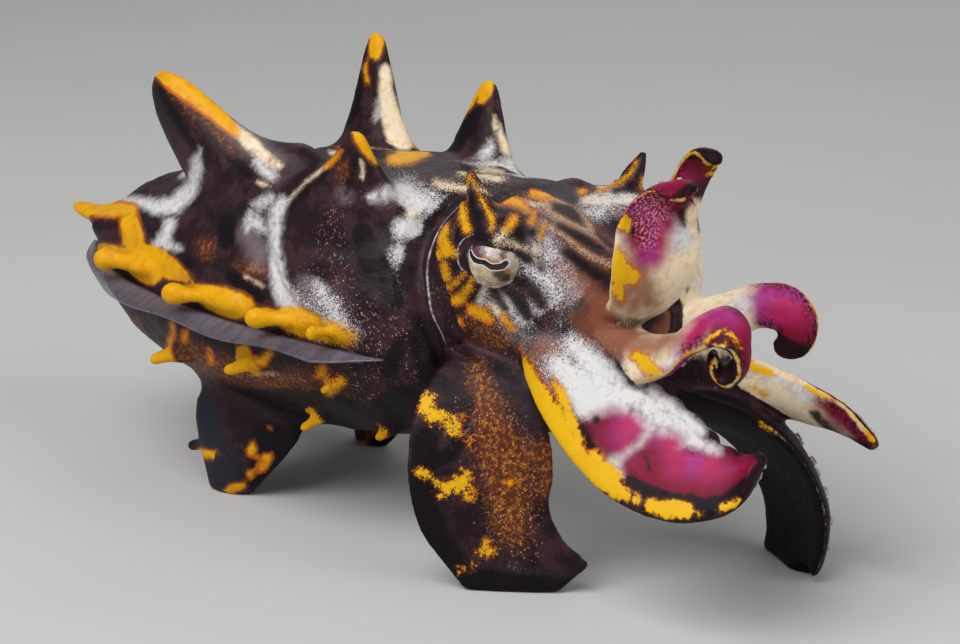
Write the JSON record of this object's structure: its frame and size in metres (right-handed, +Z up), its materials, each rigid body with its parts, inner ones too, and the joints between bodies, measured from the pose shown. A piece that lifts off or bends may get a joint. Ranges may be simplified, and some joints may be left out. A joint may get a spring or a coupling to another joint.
{
  "type": "flamboyant cuttlefish model",
  "caption": "Life-size still model of a flamboyant cuttlefish walking on its lower arms and belly lobes, front arms raised and curled, tall skin papillae on its back.",
  "frame": {"origin": "on the floor under the middle of the bounding box", "axes": "+X the way the animal faces, along its mantle; +Y its left; +Z up"},
  "size_m": [0.1054, 0.042, 0.049],
  "materials": {
    "skin": "wet satin skin, dark purple-brown with white, yellow and magenta patches",
    "fin_membrane": "thin translucent grey-lilac membrane",
    "eye": "wet glossy grey-beige eyeball with a black W-shaped pupil"
  },
  "bodies": {
    "root": {"arm_1_left_a": "skin", "arm_1_left_b": "skin", "arm_1_right_a": "skin", "arm_1_right_b": "skin", "arm_2_left_a": "skin", "arm_2_left_b": "skin", "arm_2_left_c": "skin", "arm_2_right_a": "skin", "arm_2_right_b": "skin", "arm_2_right_c": "skin", "arm_3_left_a": "skin", "arm_3_left_b": "skin", "arm_3_right_a": "skin", "arm_3_right_b": "skin", "arm_4_left_a": "skin", "arm_4_left_b": "skin", "arm_4_right_a": "skin", "arm_4_right_b": "skin", "eye_left": "eye", "eye_right": "eye", "fin_left": "fin_membrane", "fin_right": "fin_membrane", "funnel": "skin", "head": "skin", "lobe_left": "skin", "lobe_right": "skin", "mantle": "skin", "papilla_mid_left": "skin", "papilla_mid_right": "skin", "papilla_rear_left": "skin", "papilla_rear_right": "skin"}
  },
  "joints": []
}
